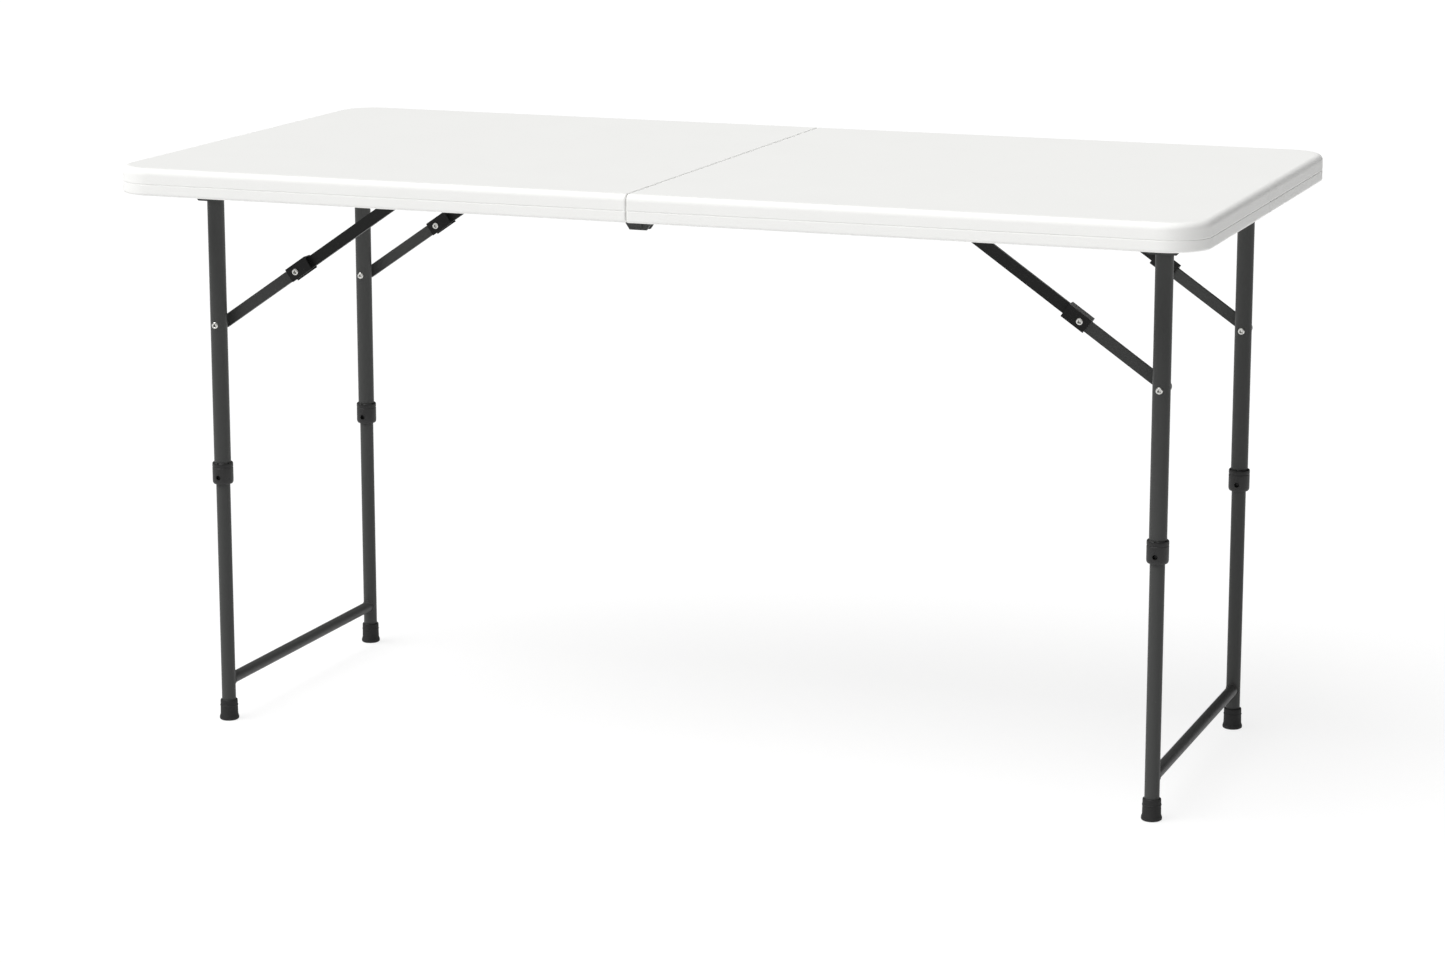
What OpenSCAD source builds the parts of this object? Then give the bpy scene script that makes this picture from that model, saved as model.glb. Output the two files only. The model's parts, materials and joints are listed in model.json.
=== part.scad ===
// Fold-in-half utility table on two telescoping leg frames.
// The origin is on the floor under the middle of the top. +X runs along the table,
// -Y is its front long side and +Z is up. Millimetres throughout.

/* [Table top] */
// Length over both halves
top_l = 1220; // [1100:10:1300]
// Width from front to back
top_w = 610; // [580:5:700]
// Height of the top's face above the floor, legs fully out
table_h = 650; // [630:1:680]
// Depth of the skirt round the edge
skirt_h = 30; // [30:1:34]
// Thickness of the flat deck inside the skirt
deck_t = 8; // [7:0.5:8]
// Thickness of the skirt wall
skirt_t = 12; // [9:1:14]
// Radius of the four corners in plan
corner_r = 45; // [30:1:60]
// Radius of the top's upper edge
edge_r = 7; // [4:1:9]
// Gap between the halves at the seam
seam_gap = 0.8; // [0.6:0.1:1.4]

/* [Leg frames] */
// Distance from the seam to each leg frame
leg_x = 543; // [535:1:555]
// Distance from the table's middle plane to each leg
leg_y = 185; // [160:1:200]
// Outer diameter of the upper tubes
upper_d = 19; // [18.8:0.1:19.2]
// Outer diameter of the lower tubes
lower_d = 16; // [15.8:0.1:16]
// Wall of all leg tubes
tube_wall = 1; // [0.8:0.1:1]
// Height of the upper tube's lower end above the floor
upper_end_z = 280; // [265:1:290]
// How far the lower tubes push in for storage
retract = 100; // [60:5:100]
// Diameter of the crossbar
bar_d = 13; // [10:0.5:14]
// Height of the crossbar's middle above the floor
bar_z = 46; // [38:1:60]

/* [Braces] */
// Height of the rivet that joins brace and leg
rivet_z = 460; // [455:1:470]
// Distance along the table from the leg pivot to the brace's upper pin
brace_reach = 245; // [230:1:260]
// Depth of the brace arms' section
arm_h = 13; // [11:0.5:13]
// Thickness of each brace arm
arm_t = 5; // [4:0.5:5]

/* [Fittings] */
// Outer diameter of the collars
collar_d = 23.6; // [23:0.1:23.8]
// Length of the collars
collar_h = 25; // [22:1:28]
// Diameter of the feet at the floor
foot_d = 22.4; // [21:0.1:23]
// Height of the feet
foot_h = 24; // [20:1:28]
// Diameter of the rivet heads
rivet_head_d = 7.6; // [6:0.1:8]

/* [Hidden] */
$fn = 64;
eps = 0.01;
LEFT = 1;
RIGHT = -1;
FRONT = -1;
REAR = 1;
WHITE = "#F0F0EF";
STEEL = "#3B3C3B";
DARK_STEEL = "#232423";
BLACK = "#1C1C1C";
BRIGHT = "#D9D9D7";

skirt_z = table_h - skirt_h; // underside of the skirt
deck_z = table_h - deck_t; // underside of the deck
pivot_z = deck_z - 13; // axis that the leg frames fold about
upper_r = upper_d / 2;
lower_r = lower_d / 2;
upper_bore_r = upper_r - tube_wall;
lower_bore_r = lower_r - tube_wall;
pivot_r = 6; // radius of the pivot tube
pivot_end = 14; // the pivot tube's reach beyond each leg's axis
run = 0.05; // radial clearance of a running fit
clear = 0.4; // gap between pieces that move past each other
upper_top_z = pivot_z + 7.5;

// leg bracket: a base under the deck and two cheeks
plate_t = 2;
base_l = 76;
base_w = 36;
cheek_y = upper_r + 0.7; // inner face of each cheek, from the leg's axis
cheek_drop = 28; // how far the cheeks hang below the pivot
window_l = 28; // the opening in the base that the leg's top swings through
bracket_screw = [32, 9]; // screw places from the leg's axis

// folding brace: each arm turns in its own plane on the +Y side of the leg
pin_r = 2.5;
lower_arm_y = upper_r + 4;
upper_arm_y = lower_arm_y + arm_t + clear;
sleeve_wall = 1.5;
sleeve_y = lower_arm_y - clear - sleeve_wall; // front face of the sleeve
sleeve_w = 2 * (arm_t + sleeve_wall) + 3 * clear;
sleeve_low = 9.5; // the sleeve's reach past the joint, on the lower arm
sleeve_high = 19.5; // and on the upper arm
sleeve_drop = 8; // depth of the sleeve's sides below the joint
brace_drop = pivot_z - rivet_z;
brace_len = sqrt(pow(brace_reach, 2) + pow(brace_drop, 2));
brace_angle = atan2(brace_drop, brace_reach);
// the arms fold flat along the leg when their lengths differ by this much
arm_difference = brace_reach - brace_drop;
lower_arm_l = (brace_len - arm_difference) / 2;
upper_arm_l = brace_len - lower_arm_l;
head_t = 1.3; // thickness of a rivet head
rivet_bore_r = 1.4; // hollow centre of a rivet
stub_gap = 0.35; // the leg rivet ends this far from the lower arm

// brace bracket at the upper pin
ear_y = upper_arm_y + arm_t + clear;
ear_w = 24;
foot_plate_w = 20;
ear_drop = 8;

// side rail and centre hinge
rail_y = 264;
rail_w = 12;
rail_h = 14;
rail_wall = 1.5;
rail_start = 20;
rail_end = 560;
rail_screws = [100, 240, 380, 520];
hinge_z = skirt_z - 6; // hinge axis, just below the skirt
knuckle_r = 6;
hinge_pin_r = 3;
left_leaf_t = 6;
right_leaf_t = 3.4;
hinge_cover_w = 35;
leaf_reach = 70;

// collar window and snap button
window_z = upper_end_z - 3 + 0.33 * collar_h;
window_r = 2.8;
button_r = 2.5;
button_tip = lower_r + 0.25;
button_flange_y = lower_bore_r - 1.2;
button_travel = 2;
lower_top_z = rivet_z - pin_r - 1.5 - retract;
screw_head_r = 4;
screw_shank_r = 2;
screw_l = 6;

// ---- places ----

// Everything is drawn for the left half; the right half is its mirror image.
module on_side(side)
    if (side == LEFT) children();
    else mirror([1, 0, 0]) children();

// The foot of one leg's axis on the floor.
module at_leg(side, row)
    on_side(side) translate([-leg_x, row * leg_y, 0]) children();

// A plate cut to an outline in the X-Z plane, between two depths.
module plate_xz(y0, y1)
    translate([0, y1, 0]) rotate([90, 0, 0]) linear_extrude(y1 - y0) children();

// A round bar along Y, between two depths.
module bar_y(r, y0, y1)
    translate([0, y0, 0]) rotate([-90, 0, 0]) cylinder(h = y1 - y0, r = r);

// ---- table top ----

// Half of the top's section: its outer side upright at x = w, the upper corner rounded.
module edge_section(w) {
    square([w, skirt_h - edge_r]);
    square([w - edge_r, skirt_h]);
    translate([w - edge_r, skirt_h - edge_r]) circle(r = edge_r);
}

// The solid block of a half: the long part, the outer end and the two corners.
module half_block(seam) {
    x0 = -top_l / 2 + corner_r;
    y0 = top_w / 2 - corner_r;
    translate([0, 0, skirt_z]) {
        translate([x0, 0, 0]) rotate([90, 0, 90]) linear_extrude(-seam - x0) {
            edge_section(top_w / 2);
            mirror([1, 0]) edge_section(top_w / 2);
        }
        translate([x0, y0, 0]) rotate([90, 0, 0]) linear_extrude(2 * y0)
            mirror([1, 0]) edge_section(corner_r);
        translate([x0, y0, 0]) rotate([0, 0, 90])
            rotate_extrude(angle = 90) edge_section(corner_r);
        translate([x0, -y0, 0]) rotate([0, 0, 180])
            rotate_extrude(angle = 90) edge_section(corner_r);
    }
}

// Plan outline of the hollow under a half, open at the seam.
module hollow_outline() {
    r = corner_r - skirt_t;
    x0 = -top_l / 2 + corner_r;
    y0 = top_w / 2 - corner_r;
    for (s = [-1, 1]) translate([x0, s * y0]) circle(r = r);
    translate([-top_l / 2 + skirt_t, -y0]) square([top_l / 2 - skirt_t + 1, 2 * y0]);
    translate([x0, -top_w / 2 + skirt_t]) square([1 - x0, top_w - 2 * skirt_t]);
}

module screw_holes()
    for (p = screw_places()) translate([p[0], p[1], deck_z - eps])
        cylinder(h = screw_l + 2 * eps, r = screw_shank_r);

module half_top(side)
    color(WHITE) on_side(side) difference() {
        half_block(seam_gap / 2);
        translate([0, 0, skirt_z - 1]) linear_extrude(skirt_h - deck_t + 1) hollow_outline();
        screw_holes();
    }

// ---- side rails and centre hinge ----

// One leaf's outline, measured from the hinge axis, for the left half.
module leaf_outline() {
    top = deck_z - hinge_z;
    rail_low = top - rail_h;
    difference() {
        union() {
            circle(r = knuckle_r);
            polygon([
                [-leaf_reach, rail_low], [-leaf_reach, top], [-seam_gap, top], [-seam_gap, knuckle_r],
                [0, knuckle_r], [0, -knuckle_r], [-7, -knuckle_r], [-19, 5], [-19, rail_low]
            ]);
        }
        circle(r = hinge_pin_r);
    }
}

// The tapered plate that covers the hinge, measured from its axis.
module cover_outline()
    polygon([
        [-hinge_cover_w / 2, skirt_z - hinge_z], [hinge_cover_w / 2, skirt_z - hinge_z],
        [hinge_cover_w / 2 - 8, -knuckle_r], [-hinge_cover_w / 2 + 8, -knuckle_r]
    ]);

// An open channel, mouth up against the deck.
module channel() {
    translate([-rail_end, -rail_w / 2, deck_z - rail_h]) difference() {
        cube([rail_end - rail_start, rail_w, rail_h]);
        translate([-1, rail_wall, rail_wall])
            cube([rail_end, rail_w - 2 * rail_wall, rail_h]);
        for (x = rail_screws) translate([rail_end - x, rail_w / 2, -1])
            cylinder(h = rail_wall + 2, r = screw_shank_r);
    }
}

module rail(side, row) {
    outer = left_leaf_t / 2 + clear;
    color(STEEL) on_side(side) translate([0, row * rail_y, 0]) difference() {
        union() {
            channel();
            translate([0, 0, hinge_z]) {
                if (side == LEFT) plate_xz(-left_leaf_t / 2, left_leaf_t / 2) leaf_outline();
                else for (s = [-1, 1])
                    translate([0, s * (outer + right_leaf_t / 2), 0])
                        plate_xz(-right_leaf_t / 2, right_leaf_t / 2) {
                            leaf_outline();
                            cover_outline();
                        }
            }
        }
        if (side == RIGHT) translate([0, 0, hinge_z]) bar_y(hinge_pin_r + run, -20, 20);
    }
}

module hinge_pins() {
    outer = left_leaf_t / 2 + clear + right_leaf_t;
    color(STEEL) for (row = [FRONT, REAR]) translate([0, row * rail_y, hinge_z]) {
        bar_y(hinge_pin_r, -outer - 0.3, outer + 0.3);
        for (s = [-1, 1]) bar_y(hinge_pin_r + 2, s * (outer + 1.2) - 0.9, s * (outer + 1.2) + 0.9);
    }
}

// ---- brackets and screws ----

module leg_bracket() {
    top = deck_z - plate_t;
    cheek_h = top - pivot_z;
    difference() {
        union() {
            translate([-base_l / 2, -base_w / 2, top]) cube([base_l, base_w, plate_t]);
            for (y = [cheek_y, -cheek_y - plate_t])
                translate([0, 0, pivot_z]) plate_xz(y, y + plate_t)
                    polygon([
                        [-24, cheek_h + eps], [24, cheek_h + eps], [20, -cheek_drop + 5],
                        [15, -cheek_drop], [-15, -cheek_drop], [-20, -cheek_drop + 5]
                    ]);
        }
        translate([-window_l / 2, -cheek_y, top - 1]) cube([window_l, 2 * cheek_y, plate_t + 2]);
        translate([0, 0, pivot_z]) bar_y(pivot_r + run, -base_w, base_w);
        for (x = [-1, 1], y = [-1, 1])
            translate([x * bracket_screw[0], y * bracket_screw[1], top - 1])
                cylinder(h = plate_t + 2, r = screw_shank_r);
    }
}

module leg_brackets(side)
    color(STEEL) for (row = [FRONT, REAR]) at_leg(side, row) leg_bracket();

module brace_bracket() {
    difference() {
        union() {
            translate([brace_reach, 0, pivot_z]) plate_xz(ear_y, ear_y + plate_t) union() {
                circle(r = ear_drop);
                translate([-ear_drop, 0]) square([2 * ear_drop, deck_z - pivot_z - plate_t + eps]);
            }
            translate([brace_reach - ear_w / 2, ear_y, deck_z - plate_t])
                cube([ear_w, foot_plate_w, plate_t]);
        }
        translate([brace_reach, 0, pivot_z]) bar_y(pin_r, ear_y - 1, ear_y + plate_t + 1);
        for (s = [-1, 1]) translate([brace_reach + s * 7, ear_y + 12, deck_z - plate_t - 1])
            cylinder(h = plate_t + 2, r = screw_shank_r);
    }
}

module brace_brackets(side)
    color(STEEL) for (row = [FRONT, REAR]) at_leg(side, row) brace_bracket();

// Every screw's place on the left half: [x, y, thickness of metal under its head].
function screw_places() = concat(
    [for (row = [FRONT, REAR], x = [-1, 1], y = [-1, 1])
        [-leg_x + x * bracket_screw[0], row * leg_y + y * bracket_screw[1], plate_t]],
    [for (row = [FRONT, REAR], s = [-1, 1])
        [-leg_x + brace_reach + s * 7, row * leg_y + ear_y + 12, plate_t]],
    [for (row = [FRONT, REAR], x = rail_screws) [-x, row * rail_y, rail_h]]
);

// The screws in a rail pass up through the channel.
module screws(side)
    color(BRIGHT) on_side(side) for (p = screw_places()) translate([p[0], p[1], deck_z - p[2]]) {
        cylinder(h = p[2] + screw_l, r = screw_shank_r);
        translate([0, 0, -2]) cylinder(h = 2, r1 = screw_head_r - 1, r2 = screw_head_r);
    }

module brace_pins(side)
    color(BRIGHT) for (row = [FRONT, REAR]) at_leg(side, row)
        translate([brace_reach, 0, pivot_z]) {
            bar_y(pin_r, upper_arm_y - 0.3, ear_y + plate_t);
            bar_y(pin_r + 1.5, upper_arm_y - 1.5, upper_arm_y - 0.3);
            bar_y(pin_r + 1.5, ear_y + plate_t, ear_y + plate_t + 1.2);
        }

// ---- leg frames ----

module pivot_tube(side)
    color(DARK_STEEL) on_side(side) translate([-leg_x, 0, pivot_z]) difference() {
        reach = leg_y + pivot_end;
        bar_y(pivot_r, -reach, reach);
        bar_y(pivot_r - 1.2, -reach - 1, reach + 1);
    }

// The boss on the +Y side of the tube holds the brace clear of it.
module upper_tube(side, row)
    color(STEEL) at_leg(side, row) difference() {
        union() {
            translate([0, 0, upper_end_z]) cylinder(h = upper_top_z - upper_end_z, r = upper_r);
            translate([0, 0, rivet_z]) bar_y(5, upper_bore_r + 0.5, lower_arm_y - stub_gap);
        }
        translate([0, 0, upper_end_z - 1]) cylinder(h = table_h, r = upper_bore_r);
        translate([0, 0, pivot_z]) bar_y(pivot_r, -20, 20);
        translate([0, 0, rivet_z]) bar_y(pin_r, -20, 20);
        translate([0, 0, window_z]) bar_y(window_r, -20, 0);
    }

module collar(side, row) {
    low = upper_end_z - 3;
    high = low + collar_h;
    r = collar_d / 2;
    color(BLACK) at_leg(side, row) difference() {
        rotate_extrude() polygon([
            [lower_r + clear, low], [r - 2, low], [r - 0.6, low + 1.2], [r, low + 3],
            [r, high - 3], [r - 0.5, high - 1.2], [r - 1.1, high], [upper_r, high],
            [upper_r, upper_end_z], [lower_r + clear, upper_end_z]
        ]);
        translate([0, 0, window_z]) bar_y(window_r, -20, 0);
    }
}

// A tubular rivet: head at the front, hollow end.
module rivet(y0, y1)
    difference() {
        union() {
            bar_y(pin_r, y0, y1);
            bar_y(rivet_head_d / 2, y0 - head_t, y0);
        }
        bar_y(rivet_bore_r, y0 - head_t - 1, y0 + 1.5);
    }

// The head's underside is hollowed to sit on the round tube.
module leg_rivets(side)
    color(BRIGHT) for (row = [FRONT, REAR]) at_leg(side, row) translate([0, 0, rivet_z])
        difference() {
            rivet(-upper_r, lower_arm_y - stub_gap);
            difference() {
                translate([0, 0, -10]) cylinder(h = 20, r = upper_r);
                bar_y(pin_r, -20, 20);
            }
        }

module lower_tube(side, row)
    color(STEEL) at_leg(side, row) difference() {
        translate([0, 0, 3]) cylinder(h = lower_top_z - 3, r = lower_r);
        translate([0, 0, 2]) cylinder(h = lower_top_z, r = lower_bore_r);
        translate([0, 0, window_z]) bar_y(button_r + run, -20, 0);
    }

// The ends are coped to the round legs.
module crossbar(side)
    color(STEEL) on_side(side) translate([-leg_x, 0, bar_z]) difference() {
        bar_y(bar_d / 2, -leg_y, leg_y);
        bar_y(bar_d / 2 - tube_wall, -leg_y - 1, leg_y + 1);
        for (row = [FRONT, REAR]) translate([0, row * leg_y, -20]) cylinder(h = 40, r = lower_r);
    }

module foot(side, row) {
    r = foot_d / 2;
    color(BLACK) at_leg(side, row) rotate_extrude() polygon([
        [0, 0], [r - 0.8, 0], [r, 0.8], [r, 3.5], [r - 0.9, 6], [r - 1.1, foot_h - 1],
        [r - 1.7, foot_h], [lower_r, foot_h], [lower_r, 3], [0, 3]
    ]);
}

module button(side, row)
    color(BLACK) at_leg(side, row) translate([0, 0, window_z]) {
        bar_y(button_r, -button_tip + 0.6, -button_flange_y + eps);
        translate([0, -button_tip, 0]) rotate([-90, 0, 0])
            cylinder(h = 0.6 + eps, r1 = button_r - 0.8, r2 = button_r);
        bar_y(button_r + 0.7, -button_flange_y, -button_flange_y + 1.2);
    }

// A bent leaf in each lower tube, with the button's travel left in front of it.
module button_springs(side) {
    front = -button_flange_y + 1.2 + button_travel + 0.2;
    back = lower_bore_r - 1.2;
    low = window_z - 30;
    color(BRIGHT) for (row = [FRONT, REAR]) at_leg(side, row)
        translate([-3, 0, 0]) rotate([90, 0, 90]) linear_extrude(6) polygon([
            [front, window_z + 4], [front, window_z - 4], [back - 1, low], [back, low],
            [back, window_z], [back - 0.6, window_z], [back - 0.6, low + 3],
            [front + 0.6, window_z - 3.6], [front + 0.6, window_z + 4]
        ]);
}

// ---- braces ----

// The leg rivet is the origin and +X runs up along the straight brace.
module along_brace(side, row)
    at_leg(side, row) translate([0, 0, rivet_z]) rotate([0, -brace_angle, 0]) children();

module arm_outline(x0, x1)
    difference() {
        union() {
            for (x = [x0, x1]) translate([x, 0]) circle(r = arm_h / 2);
            translate([x0, -arm_h / 2]) square([x1 - x0, arm_h]);
        }
        for (x = [x0, x1]) translate([x, 0]) circle(r = pin_r + run);
    }

module lower_arm(side, row)
    color(STEEL) along_brace(side, row)
        plate_xz(lower_arm_y, lower_arm_y + arm_t) arm_outline(0, lower_arm_l);

module upper_arm(side, row)
    color(DARK_STEEL) along_brace(side, row)
        plate_xz(upper_arm_y, upper_arm_y + arm_t) arm_outline(lower_arm_l, brace_len);

// A channel over the joint, open below so that the lower arm can swing out of it.
module sleeve(side, row) {
    over = arm_h / 2 + clear;
    color(BLACK) along_brace(side, row) translate([lower_arm_l, sleeve_y, 0]) difference() {
        translate([-sleeve_low, 0, -sleeve_drop])
            cube([sleeve_low + sleeve_high, sleeve_w, sleeve_drop + over + sleeve_wall]);
        translate([-sleeve_low - 1, sleeve_wall, -sleeve_drop - 1])
            cube([sleeve_low + sleeve_high + 2, sleeve_w - 2 * sleeve_wall, sleeve_drop + over + 1]);
        bar_y(pin_r, -1, sleeve_w + 1);
    }
}

module joint_rivet(side, row)
    color(BRIGHT) along_brace(side, row) translate([lower_arm_l, 0, 0]) {
        rivet(sleeve_y, sleeve_y + sleeve_w);
        bar_y(rivet_head_d / 2 - 0.6, sleeve_y + sleeve_w, sleeve_y + sleeve_w + 1);
    }

// ---- what is drawn ----

half_top(LEFT);  // left_top
half_top(RIGHT);  // right_top
rail(LEFT, FRONT);  // left_rail_front
rail(LEFT, REAR);  // left_rail_rear
rail(RIGHT, FRONT);  // right_rail_front
rail(RIGHT, REAR);  // right_rail_rear
hinge_pins();
leg_brackets(LEFT);  // left_leg_brackets
leg_brackets(RIGHT);  // right_leg_brackets
brace_brackets(LEFT);  // left_brace_brackets
brace_brackets(RIGHT);  // right_brace_brackets
screws(LEFT);  // left_screws
screws(RIGHT);  // right_screws
brace_pins(LEFT);  // left_brace_pins
brace_pins(RIGHT);  // right_brace_pins
pivot_tube(LEFT);  // left_pivot_tube
pivot_tube(RIGHT);  // right_pivot_tube
upper_tube(LEFT, FRONT);  // left_upper_tube_front
upper_tube(LEFT, REAR);  // left_upper_tube_rear
upper_tube(RIGHT, FRONT);  // right_upper_tube_front
upper_tube(RIGHT, REAR);  // right_upper_tube_rear
collar(LEFT, FRONT);  // left_collar_front
collar(LEFT, REAR);  // left_collar_rear
collar(RIGHT, FRONT);  // right_collar_front
collar(RIGHT, REAR);  // right_collar_rear
leg_rivets(LEFT);  // left_leg_rivets
leg_rivets(RIGHT);  // right_leg_rivets
lower_tube(LEFT, FRONT);  // left_lower_tube_front
lower_tube(LEFT, REAR);  // left_lower_tube_rear
lower_tube(RIGHT, FRONT);  // right_lower_tube_front
lower_tube(RIGHT, REAR);  // right_lower_tube_rear
crossbar(LEFT);  // left_crossbar
crossbar(RIGHT);  // right_crossbar
foot(LEFT, FRONT);  // left_foot_front
foot(LEFT, REAR);  // left_foot_rear
foot(RIGHT, FRONT);  // right_foot_front
foot(RIGHT, REAR);  // right_foot_rear
button(LEFT, FRONT);  // left_button_front
button(LEFT, REAR);  // left_button_rear
button(RIGHT, FRONT);  // right_button_front
button(RIGHT, REAR);  // right_button_rear
button_springs(LEFT);  // left_button_springs
button_springs(RIGHT);  // right_button_springs
lower_arm(LEFT, FRONT);  // left_lower_arm_front
lower_arm(LEFT, REAR);  // left_lower_arm_rear
lower_arm(RIGHT, FRONT);  // right_lower_arm_front
lower_arm(RIGHT, REAR);  // right_lower_arm_rear
upper_arm(LEFT, FRONT);  // left_upper_arm_front
upper_arm(LEFT, REAR);  // left_upper_arm_rear
upper_arm(RIGHT, FRONT);  // right_upper_arm_front
upper_arm(RIGHT, REAR);  // right_upper_arm_rear
sleeve(LEFT, FRONT);  // left_sleeve_front
sleeve(LEFT, REAR);  // left_sleeve_rear
sleeve(RIGHT, FRONT);  // right_sleeve_front
sleeve(RIGHT, REAR);  // right_sleeve_rear
joint_rivet(LEFT, FRONT);  // left_joint_rivet_front
joint_rivet(LEFT, REAR);  // left_joint_rivet_rear
joint_rivet(RIGHT, FRONT);  // right_joint_rivet_front
joint_rivet(RIGHT, REAR);  // right_joint_rivet_rear
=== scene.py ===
"""Looks of a fold-in-half utility table, built round its packed frame. Lengths are in metres."""

import json
import math

import bmesh
import bpy
from bpy.props import FloatProperty, FloatVectorProperty, IntProperty, PointerProperty
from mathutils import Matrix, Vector


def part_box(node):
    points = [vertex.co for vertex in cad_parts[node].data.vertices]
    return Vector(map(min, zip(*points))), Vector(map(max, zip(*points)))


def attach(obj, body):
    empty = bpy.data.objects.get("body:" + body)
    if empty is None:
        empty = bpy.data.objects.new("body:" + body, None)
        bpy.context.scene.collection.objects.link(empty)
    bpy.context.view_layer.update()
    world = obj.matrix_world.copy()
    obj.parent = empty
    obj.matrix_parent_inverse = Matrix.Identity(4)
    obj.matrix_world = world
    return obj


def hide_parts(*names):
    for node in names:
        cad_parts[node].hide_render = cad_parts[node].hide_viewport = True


bl_info = {
    "name": "Folding Table",
    "version": (1, 0, 0),
    "blender": (4, 5, 0),
    "location": "View3D > Sidebar > Folding Table",
    "description": "Makes the looks of a fold-in-half utility table",
    "category": "Object",
}

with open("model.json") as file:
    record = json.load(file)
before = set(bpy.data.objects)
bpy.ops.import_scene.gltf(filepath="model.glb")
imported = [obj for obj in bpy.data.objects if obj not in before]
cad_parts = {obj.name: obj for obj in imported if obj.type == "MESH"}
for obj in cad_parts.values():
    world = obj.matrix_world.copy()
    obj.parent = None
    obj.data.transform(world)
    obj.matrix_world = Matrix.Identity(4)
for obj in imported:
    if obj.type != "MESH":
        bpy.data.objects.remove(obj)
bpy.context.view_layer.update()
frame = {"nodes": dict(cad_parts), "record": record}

MM = 0.001
# A narrow strip beside each edge of a flat face, so that the face shades as flat.
STRIP = 0.8 * MM
CORNER_STEPS = 16
DIMPLE_SIDES = 12
END_GROOVE = 0.6 * MM
PIN_R = 2.5 * MM
RIVET_HEAD_H = 1.3 * MM
RIVET_TAIL_H = 1.0 * MM
RIVET_TAIL_R = 3.2 * MM
RIVET_BORE_R = 1.5 * MM
WINDOW_R = 2.8 * MM
SIDES = ("left", "right")
ROWS = ("front", "rear")
SIGN = {"left": -1, "right": 1, "front": -1, "rear": 1}


def middle(node):
    """The middle of a frame node's box."""
    low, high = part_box(node)
    return (low + high) / 2


# Places and sizes read from the frame.
TOP_LOW, TOP_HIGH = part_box("left_top")
SKIRT_Z = TOP_LOW.z
TOP_Z = TOP_HIGH.z
DECK_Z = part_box("left_leg_brackets")[1].z
HALF_L = -TOP_LOW.x
HALF_W = TOP_HIGH.y
SEAM_X = -TOP_HIGH.x
LEG_X = -middle("left_foot_front").x
LEG_Y = -middle("left_foot_front").y
BAR_Z = middle("left_crossbar").z
BAR_R = (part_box("left_crossbar")[1].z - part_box("left_crossbar")[0].z) / 2
LEG_R = (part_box("left_lower_tube_front")[1].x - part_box("left_lower_tube_front")[0].x) / 2
COLLAR_LOW, COLLAR_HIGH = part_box("left_collar_front")
COLLAR_R = (COLLAR_HIGH.x - COLLAR_LOW.x) / 2
UPPER_R = (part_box("left_upper_tube_front")[1].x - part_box("left_upper_tube_front")[0].x) / 2
BUTTON_Z = middle("left_button_front").z
FOOT_LOW, FOOT_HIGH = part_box("left_foot_front")

# The stage, in metres and degrees.
FLOOR_RADIUS = 30
FLOOR_GAP = 0.2 * MM
KEY_DISTANCE = 5
KEY_SOFTNESS = 55
CAMERA_PLACE = (1.4595, -3.8881, 1.1972)
CAMERA_PITCH = 90 - 11.503
CAMERA_TURN = 20.674
CAMERA_SHIFT = -0.0415
SENSOR_MM = 36
LENS_MM = 93.83


# ---- settings ----


class TopSettings(bpy.types.PropertyGroup):
    """Sizes and colour of the moulded top."""

    colour: FloatVectorProperty(
        name="Plastic colour", description="Colour of the moulded plastic", subtype="COLOR_GAMMA",
        size=3, min=0, max=1, default=(0.955, 0.955, 0.947),
    )
    corner_radius: FloatProperty(
        name="Corner radius", description="Radius of the outer corners in plan",
        unit="LENGTH", default=45 * MM,
    )
    edge_radius: FloatProperty(
        name="Edge radius", description="Radius of the upper edge", unit="LENGTH", default=7 * MM,
    )
    skirt_wall: FloatProperty(
        name="Skirt wall", description="Thickness of the skirt", unit="LENGTH", default=12 * MM,
    )
    lip_radius: FloatProperty(
        name="Lip radius", description="Rounding of the skirt's lower edge", unit="LENGTH",
        default=2.5 * MM,
    )
    parting_drop: FloatProperty(
        name="Parting line", description="Depth of the mould's parting line below the face",
        unit="LENGTH", default=17.5 * MM,
    )
    parting_depth: FloatProperty(
        name="Parting depth", description="Depth of the parting line's groove", unit="LENGTH",
        default=0.4 * MM,
    )
    seam_radius: FloatProperty(
        name="Seam radius", description="Rounding of the edges at the centre seam", unit="LENGTH",
        default=1.5 * MM,
    )
    dimple_pitch: FloatProperty(
        name="Dimple pitch", description="Distance between the dimples under the deck",
        unit="LENGTH", default=38 * MM,
    )
    dimple_radius: FloatProperty(
        name="Dimple radius", description="Radius of a dimple at its mouth", unit="LENGTH",
        default=9 * MM,
    )
    dimple_depth: FloatProperty(
        name="Dimple depth", description="Depth of a dimple", unit="LENGTH", default=4.5 * MM,
    )


class FrameSettings(bpy.types.PropertyGroup):
    """Sizes and colours of the legs, braces and fittings."""

    tube_colour: FloatVectorProperty(
        name="Tube colour", description="Colour of the powder coat on the tubes",
        subtype="COLOR_GAMMA", size=3, min=0, max=1, default=(0.262, 0.265, 0.262),
    )
    arm_colour: FloatVectorProperty(
        name="Arm colour", description="Colour of the coat on the upper brace arms",
        subtype="COLOR_GAMMA", size=3, min=0, max=1, default=(0.115, 0.118, 0.115),
    )
    plastic_colour: FloatVectorProperty(
        name="Collar colour", description="Colour of the collars and feet",
        subtype="COLOR_GAMMA", size=3, min=0, max=1, default=(0.094, 0.094, 0.094),
    )
    arm_edge: FloatProperty(
        name="Arm edge", description="Rounding of the brace arms' edges", unit="LENGTH",
        default=0.9 * MM,
    )
    sleeve_edge: FloatProperty(
        name="Sleeve edge", description="Rounding of the sleeves' bends", unit="LENGTH",
        default=0.7 * MM,
    )
    weld_radius: FloatProperty(
        name="Weld radius", description="Thickness of the weld beads", unit="LENGTH",
        default=1.1 * MM,
    )
    notches: IntProperty(
        name="Collar notches", description="Number of notches in a collar's upper rim",
        min=2, max=12, default=6,
    )


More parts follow.
